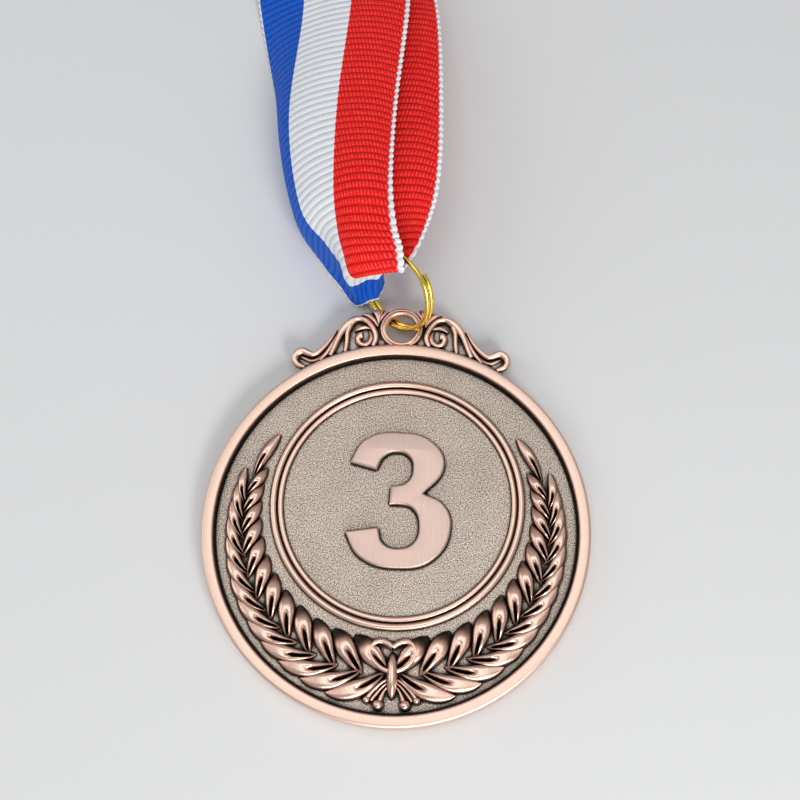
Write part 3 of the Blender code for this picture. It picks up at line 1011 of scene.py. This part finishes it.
@dataclass
class Hanger:
    """The scrolled hanger: a toned plate, scroll bands, petals and the holed boss."""

    hole_y: float = 27.42
    hole_radius: float = 2.3
    back: float = 1.6
    ground: float = 2.15
    sink: float = 0.15
    crown: float = 0.86
    widening: float = 1.32
    outline: Outline = (
        (0.0, 30.2, True), (2.0, 29.9, False), (3.7, 30.2, True), (5.8, 29.0, True),
        (7.8, 28.1, True), (9.0, 26.7, True), (10.1, 25.3, True), (11.6, 24.0, True),
        (12.6, 24.2, True), (13.6, 24.3, True), (14.6, 22.9, True), (13.6, 21.9, False),
        (12.6, 20.8, False), (6.4, 23.3, True), (0.0, 24.1, True),
    )
    bands: tuple[tuple[tuple[float, float, float, float], ...], ...] = (
        # the great C scroll, from the rim over its crown to the rim
        (
            (9.5, 23.3, 0.6, 0.62), (8.9, 24.9, 0.62, 0.66), (8.4, 26.2, 0.7, 0.72),
            (7.8, 27.35, 1.0, 0.8), (6.85, 28.3, 1.0, 0.85), (5.9, 28.72, 0.7, 0.82),
            (4.85, 28.45, 0.66, 0.8), (4.05, 27.65, 0.66, 0.76), (3.55, 26.7, 0.66, 0.7),
            (3.45, 25.8, 0.64, 0.62), (3.8, 24.8, 0.6, 0.52),
        ),
        # the upright inside the scroll
        (
            (7.5, 23.9, 0.5, 0.5), (7.35, 25.5, 0.55, 0.58), (7.3, 26.7, 0.6, 0.66),
            (7.0, 27.7, 0.7, 0.7),
        ),
        # the small volute with its ball
        (
            (4.3, 27.0, 0.3, 0.3), (4.05, 26.2, 0.55, 0.5), (4.25, 25.4, 0.62, 0.55),
            (4.85, 24.95, 0.62, 0.58), (5.55, 25.15, 0.62, 0.62), (5.85, 25.75, 0.66, 0.66),
            (5.6, 26.25, 0.85, 0.7), (5.3, 26.3, 0.8, 0.7),
        ),
        # the lid over the ball
        (
            (6.35, 26.9, 0.12, 0.3), (5.85, 27.2, 0.4, 0.5), (5.0, 27.5, 0.45, 0.55),
            (4.2, 27.3, 0.2, 0.4),
        ),
        # the outer leaf's upper edge, curling over at its tip
        (
            (8.75, 27.0, 0.2, 0.5), (9.8, 25.3, 0.5, 0.6), (10.85, 24.05, 0.62, 0.66),
            (11.75, 23.45, 0.66, 0.68), (12.55, 23.65, 0.8, 0.72), (13.35, 23.95, 0.95, 0.78),
            (14.1, 23.5, 0.9, 0.74), (14.3, 22.75, 0.7, 0.68), (13.9, 22.05, 0.62, 0.6),
            (12.9, 21.6, 0.5, 0.5),
        ),
        # the leaf's lower edge, down to the rim
        (
            (8.75, 26.4, 0.2, 0.4), (9.3, 25.0, 0.5, 0.5), (9.95, 23.8, 0.55, 0.5),
            (10.9, 22.6, 0.5, 0.45),
        ),
        # the hollow leaf between the two edges
        (
            (9.5, 25.0, 0.12, 0.2), (10.1, 23.9, 0.45, 0.3), (11.0, 22.9, 0.5, 0.32),
            (12.0, 22.55, 0.45, 0.32), (12.9, 22.85, 0.4, 0.34), (13.4, 23.1, 0.25, 0.3),
        ),
        # the crescent petal against the scroll
        (
            (5.5, 29.3, 0.15, 0.4), (4.7, 29.25, 0.62, 0.62), (3.85, 28.6, 0.6, 0.62),
            (3.2, 27.6, 0.25, 0.45),
        ),
        # the two petals beside the boss
        (
            (3.15, 27.9, 0.2, 0.4), (3.15, 28.7, 0.6, 0.6), (3.2, 29.5, 1.1, 0.66),
            (3.2, 30.05, 1.35, 0.5),
        ),
        ((2.95, 28.4, 0.2, 0.4), (2.65, 29.1, 0.45, 0.55), (2.15, 29.75, 0.5, 0.5)),
    )

    def build(self) -> None:
        """Cast the hanger."""
        other = [(-x, y, soft) for x, y, soft in reversed(self.outline) if x > 0]
        hole = (0.0, self.hole_y, self.hole_radius)
        shape = Plate((*self.outline, *other), self.back, self.ground, 0.12, 10, hole)
        shape.build("hanger_plate", HOLLOW, self.back)
        draft = Draft()
        for band in self.bands:
            keys = np.array(band) * (1, 1, self.widening, 1) + (0, 0, 0, self.sink)
            for side in (-1, 1):
                path = smooth(keys * (side, 1, 1, 1), 14 * len(band))
                foot = self.ground - self.sink
                raised(draft, path, foot, self.crown, squareness=3.0, columns=15)
        draft.piece("hanger_scrolls", CRESTS)
        self.boss()

    def boss(self) -> None:
        """Turn the boss with two beads round its hole."""
        draft = Draft()
        back = self.back
        profile = [
            (2.02, back + 0.12, 0.6), (2.0, back + 0.3, 0.6), (2.0, 2.35, 0.75),
            (2.06, 2.55, 0.95), (2.2, 2.68, 1.0), (2.38, 2.68, 1.0), (2.5, 2.6, 0.85),
            (2.56, 2.56, 0.62), (2.64, 2.6, 0.85), (2.78, 2.58, 0.95), (2.88, 2.48, 0.7),
            (2.92, 2.25, 0.1), (2.92, back + 0.1, 0.5), (2.84, back, 0.7), (2.14, back, 0.7),
        ]
        turned(draft, profile, (0.0, self.hole_y), 128)
        draft.piece("hanger_boss", CRESTS)


@dataclass
class SplitRing:
    """Two close turns of plated wire through the boss and the ribbon."""

    centre: Triple = (-0.7, 31.55, 5.8)
    radius: float = 5.6
    wire_radius: float = 0.37
    pitch: float = 0.79
    turns: float = 1.89
    phase: float = 85.8
    tilt: float = 64.0
    azimuth: float = 225.5

    def frame(self) -> tuple[Array, Array, Array]:
        """The ring's directions.

        Returns:
            Sideways, upwards and along its axis.
        """
        tilt, azimuth = math.radians(self.tilt), math.radians(self.azimuth)
        flat = math.sin(tilt)
        axis = np.array((flat * math.cos(azimuth), flat * math.sin(azimuth), math.cos(tilt)))
        sideways = np.cross((0, 0, 1), axis)
        sideways /= np.linalg.norm(sideways)
        return sideways, np.cross(axis, sideways), axis

    def build(self) -> None:
        """Wind the ring."""
        sideways, upwards, axis = self.frame()
        turn = self.turns * np.linspace(-0.5, 0.5, 240)[:, None]
        angle = math.radians(self.phase) - math.tau * turn
        radial = np.cos(angle) * sideways + np.sin(angle) * upwards
        line = np.array(self.centre) + radial * self.radius + axis * self.pitch * turn
        draft = Draft()
        wire(draft, line, self.wire_radius, 20)
        ring = draft.piece("split_ring_wire", GOLD, 50, Body.RING)
        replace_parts(ring, "split_ring")


# The ribbon


@dataclass
class Ribbon:
    """The neck ribbon, one closed loop of strip: two runs to the ring and the folded rest."""

    ring: SplitRing
    thickness: float = 0.4
    rib: float = 0.1
    columns: int = 45
    fold_start: float = 95.0
    fold_end: float = 236.0
    fold_turns: tuple[float, ...] = (135, 180)
    fold_reach: float = 1.5
    fold_swell: float = 0.8
    rows_to_a_rib: int = 8
    hank_start: float = 101.3
    hank_end: float = 146.7
    hank_base: float = 1.1
    hank_top: float = 10.6
    runs: int = 7
    right: float = -1.0
    front: tuple[Triples, ...] = (
        ((-1.0, 99.5, 2.6), (-9.6, 99.5, 2.6), (-17.4, 99.5, 2.6), (-26.0, 99.5, 2.6)),
        ((-0.6, 91.0, 4.6), (-9.0, 91.5, 4.6), (-16.6, 92.0, 3.8), (-25.0, 92.0, 2.2)),
        ((-0.2, 74.4, 9.6), (-8.3, 75.6, 9.3), (-15.6, 76.3, 5.6), (-22.2, 76.4, 0.6)),
        ((-1.4, 56.1, 12.4), (-9.2, 57.1, 12.2), (-16.3, 57.1, 7.6), (-17.3, 55.8, 0.6)),
        ((-1.6, 43.9, 13.6), (-9.0, 43.7, 13.6), (-13.9, 42.9, 8.0), (-13.9, 42.6, 0.6)),
        ((-0.8, 37.0, 13.6), (-8.2, 37.2, 13.0), (-10.2, 37.6, 7.8), (-11.0, 37.4, 0.7)),
        ((0.0, 34.4, 13.2), (-7.3, 33.9, 12.6), (-8.0, 34.6, 7.4), (-8.7, 34.4, 0.8)),
        ((0.2, 31.9, 12.2), (-6.1, 31.1, 11.2), (-6.9, 32.1, 6.5), (-6.5, 31.7, 0.7)),
    )
    back: tuple[Triples, ...] = (
        ((2.6, 37.2, 10.0), (-1.2, 37.2, 8.6), (-3.2, 36.6, 5.4), (-3.6, 36.6, 0.7)),
        ((4.5, 44.4, 10.8), (-3.4, 44.6, 11.0), (-10.2, 43.4, 7.2), (-12.2, 42.7, 0.7)),
        ((4.9, 56.7, 10.2), (-3.4, 58.1, 9.4), (-11.0, 56.4, 6.4), (-15.7, 55.9, 0.7)),
        ((3.9, 75.0, 7.6), (-3.2, 76.0, 6.8), (-11.0, 75.6, 4.6), (-18.4, 76.4, 0.6)),
        ((0.6, 91.0, 2.8), (-7.6, 91.5, 2.6), (-15.4, 92.0, 2.0), (-23.8, 92.0, 0.8)),
        ((-1.0, 99.5, 1.6), (-9.6, 99.5, 1.6), (-17.4, 99.5, 1.6), (-26.0, 99.5, 1.6)),
    )

    def shares(self) -> Array:
        """Columns across the strip, closer at the selvedges."""
        even = np.linspace(-1, 1, self.columns)
        return 0.5 + 0.5 * np.sign(even) * (1 - (1 - np.abs(even)) ** 1.15)

    def spread(self, keys: Triples, shares: Array) -> Array:
        """Draw one row across the strip through four points.

        Args:
            keys: Triples at the selvedges and at the two stripe edges.
            shares: Where across the strip to read.

        Returns:
            Triples of the row.
        """
        stations = (0.0, 0.344, 0.656, 1.0)
        row = np.zeros((len(shares), 3))
        for index, station in enumerate(stations):
            weight = np.ones_like(shares)
            for other in stations[:index] + stations[index + 1 :]:
                weight = weight * (shares - other) / (station - other)
            row += weight[:, None] * np.array(keys[index])
        return row

    def fold(self, shares: Array) -> list[Array]:
        """Rows of the fold over the ring, from the front run to the back one.

        Args:
            shares: Columns across the strip.

        Returns:
            The rows.
        """
        sideways, upwards, axis = self.ring.frame()
        angle = np.radians(self.fold_start + (self.fold_end - self.fold_start) * shares)[:, None]
        outward = np.cos(angle) * sideways + np.sin(angle) * upwards
        reach = self.fold_reach + self.fold_swell * np.sin(math.pi * shares)[:, None]
        rows = []
        for turn in np.radians(self.fold_turns):
            step = outward * math.cos(turn) + axis * math.sin(turn)
            rows.append(np.array(self.ring.centre) + outward * self.ring.radius + step * reach)
        return rows

    def hank(self, shares: Array, side: int) -> Array:
        """One strand of the doubled strip, folded to and fro.

        Args:
            shares: Columns across the strip.
            side: 1 for the upper strand at the mouth and -1 for the lower one.

        Returns:
            Rows from the mouth to the loop's far end.
        """
        step = (self.hank_top - self.hank_base) / self.runs
        offset = side * step / 4
        line = []
        for run in range(self.runs):
            forward = 1 if run % 2 == 0 else -1
            height = self.hank_base + step * (run + 0.5)
            ends = (self.hank_start, self.hank_end)[::forward]
            for y in np.linspace(*ends, 40):
                line.append((y, height + offset * forward))
            if run == self.runs - 1:
                break
            radius = step / 2 - offset
            for turn in np.linspace(0, math.pi, 10)[1:-1]:
                y = ends[1] + forward * radius * math.sin(turn)
                line.append((y, height + step / 2 - radius * math.cos(turn)))
        far, level = line[-1][0], line[-1][1] - offset
        for turn in np.linspace(0, math.pi / 2, 6)[1:]:
            line.append((far + step / 4 * math.sin(turn), level + offset * math.cos(turn)))
        line = np.array(line)
        rows = np.zeros((len(line), len(shares), 3))
        rows[..., 0] = self.right - RIBBON_WIDTH * shares
        rows[..., 1:] = line[:, None, :]
        return rows

    def rows(self) -> tuple[Array, Array]:
        """Rows round the whole loop, from the far end by the front run to the ring and back.

        Returns:
            The rows and the distance of each along the strip.
        """
        shares = self.shares()
        keys = [self.spread(row, shares) for row in self.front]
        keys += self.fold(shares)
        keys += [self.spread(row, shares) for row in self.back]
        dense = through(np.array(keys), 60)
        reach = travelled(dense)
        shown = respaced(dense, reach, int(reach[-1] / RIB_PITCH * self.rows_to_a_rib))
        rows = np.concatenate([self.hank(shares, 1)[::-1], shown, self.hank(shares, -1)[:-1]])
        return rows, travelled(rows)

    def build(self) -> Object:
        """Weave the strip as a closed skin with real ribs.

        Returns:
            The ribbon.
        """
        rows, along = self.rows()
        shares = self.shares()
        down = np.roll(rows, -1, axis=0) - np.roll(rows, 1, axis=0)
        over = np.gradient(rows, axis=1)
        normal = np.cross(down, over)
        normal /= np.linalg.norm(normal, axis=-1, keepdims=True) + 1e-12
        over = over / (np.linalg.norm(over, axis=-1, keepdims=True) + 1e-12)
        rib = np.abs(np.sin(math.pi * along / RIB_PITCH))[:, None] ** 0.7
        edge = ease(np.abs(shares - 0.5), 0.455, 0.5)
        swell = self.thickness / 2 + self.rib * rib * (1 - 0.4 * edge)
        picot = (np.sign(shares - 0.5) * edge * 0.22)[None, :] * rib
        centre = rows + over * picot[..., None]
        faces = [centre + normal * swell[..., None], centre - normal * swell[..., None]]
        skin = np.concatenate([faces[0], faces[1][:, ::-1]], axis=1)
        across = np.concatenate([shares, shares[::-1]])
        draft = Draft()
        index = draft.add(skin, across=across[None], along=along[:, None] + 0 * across[None])
        draft.skin(index, closed=True)
        strip = draft.piece("neck_ribbon_strip", CLOTH, 80, Body.RIBBON)
        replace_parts(strip, "neck_ribbon", "ribbon_hank")
        return strip


@dataclass
class Tie:
    """The white tape round the put-away ribbon, and the thread that closes the strip."""

    centre_x: float = -13.5
    half_width: float = 12.8
    low: float = 0.5
    high: float = 11.2
    middle_y: float = 124.0
    tape: float = 6.0
    thickness: float = 0.5
    corner: float = 1.2
    stitches: int = 24
    seam_length: float = 21.0
    seam_place: Pair = (138.4, 11.05)
    bite: float = 0.8
    thread_radius: float = 0.17

    def band(self) -> None:
        """Wrap the tape."""
        corner = self.corner
        line = []
        for turn, (x, z) in enumerate(((1, 1), (-1, 1), (-1, -1), (1, -1))):
            side = self.centre_x + x * (self.half_width - corner)
            level = (self.high - corner) if z > 0 else (self.low + corner)
            for step in range(7):
                angle = math.pi / 2 * (turn + step / 6)
                line.append((side, level, math.cos(angle), math.sin(angle)))
        line = np.array(line)
        across = np.linspace(-0.5, 0.5, 13)
        shell = []
        for grow in (corner - self.thickness / 2, corner + self.thickness / 2):
            rows = np.zeros((len(line), len(across), 3))
            rows[..., 0] = (line[:, 0] + grow * line[:, 2])[:, None]
            rows[..., 2] = (line[:, 1] + grow * line[:, 3])[:, None]
            rows[..., 1] = self.middle_y + self.tape * across
            shell.append(rows)
        skin = np.concatenate([shell[1], shell[0][:, ::-1]], axis=1)
        draft = Draft()
        draft.skin(draft.add(skin), closed=True)
        band = draft.piece("ribbon_tie_tape", TAPE, 50, Body.RIBBON)
        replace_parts(band, "hank_tie")

    def seam(self) -> Object:
        """Sew the zigzag seam.

        Returns:
            The thread.
        """
        y, z = self.seam_place
        points = []
        for step in range(self.stitches + 1):
            x = self.centre_x - self.seam_length / 2 + self.seam_length * step / self.stitches
            points.append((x, y + self.bite * (-1) ** step, z))
        points = np.array(points)
        line = np.concatenate([np.linspace(a, b, 5)[:-1] for a, b in zip(points, points[1:])])
        draft = Draft()
        wire(draft, line, self.thread_radius, 10)
        seam = draft.piece("ribbon_seam_thread", THREAD, 60, Body.RIBBON)
        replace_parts(seam, "seam_stitching")
        return seam


# The studio


@dataclass
class Studio:
    """Pale floor, soft lights and the camera."""

    camera: Triple = (6.04, -32.52, 150.49)
    turn: Triple = (18.603, 1.73, 1.7)
    lens: float = 52.893
    lamps: tuple[tuple[str, Triple, Triple, float, float], ...] = (
        # name, place, target, side and watts
        ("overhead", (0, 60, 420), (0, 20, 0), 340, 0.4),
        ("key", (150, -240, 230), (0, 0, 0), 100, 0.5),
        ("edge", (30, -340, 120), (0, 0, 0), 190, 0.45),
        ("fill", (-260, 60, 180), (0, 10, 0), 220, 0.14),
    )
    sky: Triple = (0.93, 0.95, 1.0)
    sky_strength: float = 0.42
    floor_reach: float = 3000.0
    floor_drop: float = 0.05

    def build(self) -> None:
        """Set up the studio."""
        self.floor()
        for name, place, target, side, watts in self.lamps:
            light = bpy.data.lights.new(name, "AREA")
            light.size = side * MM
            light.energy = watts
            facing = Vector(target) - Vector(place)
            self.hang(name, light, place, facing.to_track_quat("-Z", "Y").to_euler())
        world = bpy.data.worlds.new("soft_room")
        world.use_nodes = True
        background = world.node_tree.nodes["Background"]
        background.inputs["Color"].default_value = (*self.sky, 1.0)
        background.inputs["Strength"].default_value = self.sky_strength
        bpy.context.scene.world = world
        bpy.context.scene.view_settings.view_transform = "Standard"
        camera = bpy.data.cameras.new("camera")
        camera.lens = self.lens
        camera.sensor_width = 36.0
        camera.clip_start = 0.01
        turn = Euler([math.radians(value) for value in self.turn], "XYZ")
        bpy.context.scene.camera = self.hang("camera", camera, self.camera, turn)

    def hang(self, name: str, data: bpy.types.ID, place: Triple, turn: Euler) -> Object:
        """Put a light or the camera in the scene.

        Args:
            name: Its name.
            data: The light or camera.
            place: Where it hangs.
            turn: How it is turned.

        Returns:
            The object.
        """
        holder = bpy.data.objects.new(name, data)
        holder.location = Vector(place) * MM
        holder.rotation_euler = turn
        bpy.context.scene.collection.objects.link(holder)
        return holder

    def floor(self) -> None:
        """Lay the floor."""
        mesh = bpy.data.meshes.new("floor")
        signs = ((-1, -1), (1, -1), (1, 1), (-1, 1))
        reach, drop = self.floor_reach * MM, self.floor_drop * MM
        mesh.from_pydata([(x * reach, y * reach, -drop) for x, y in signs], [], [(0, 1, 2, 3)])
        mesh.materials.append(FLOOR.material)
        floor = bpy.data.objects.new("floor", mesh)
        bpy.context.scene.collection.objects.link(floor)


def main() -> None:
    """Build every piece round the frame."""
    logging.basicConfig(level=logging.INFO, format="%(name)s: %(message)s")
    for thing in list(bpy.data.objects):
        bpy.data.objects.remove(thing, do_unlink=True)
    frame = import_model()
    LOG.info("frame holds %d nodes", len(frame["nodes"]))
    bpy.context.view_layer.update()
    for part in (Blank(), Numeral(), Laurel(), Bow(), Hanger()):
        part.build()
    ring = SplitRing()
    ring.build()
    strip = Ribbon(ring).build()
    tie = Tie()
    seam = tie.seam()
    tie.band()
    Studio().build()


if __name__ == "__main__":
    main()
